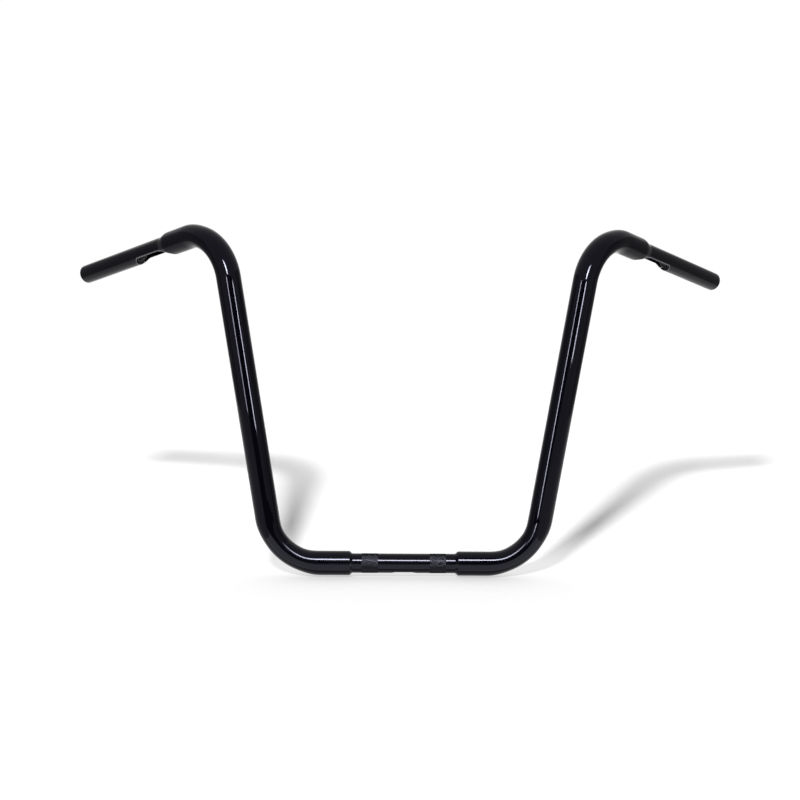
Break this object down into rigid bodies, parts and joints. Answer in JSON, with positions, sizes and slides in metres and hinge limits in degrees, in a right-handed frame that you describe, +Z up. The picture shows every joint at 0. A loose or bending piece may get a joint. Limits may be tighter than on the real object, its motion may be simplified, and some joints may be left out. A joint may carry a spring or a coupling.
{
  "type": "ape hanger handlebar",
  "caption": "Tall motorbike handlebar welded from steel tube: knurled clamp section, bent fat uprights, slim pulled-back grips with wiring slots, gloss black.",
  "frame": {"origin": "middle of the clamp section, on the centre line of its tube", "axes": "+X along the clamp section, to the right as seen from the front, +Y back towards the rider, +Z up"},
  "size_m": [0.9055, 0.2313, 0.4528],
  "materials": {
    "black_paint": "gloss"
  },
  "bodies": {
    "root": {"centre_tube": "black_paint", "left_upright": "black_paint", "right_upright": "black_paint", "left_grip_tube": "black_paint", "right_grip_tube": "black_paint"}
  },
  "joints": []
}
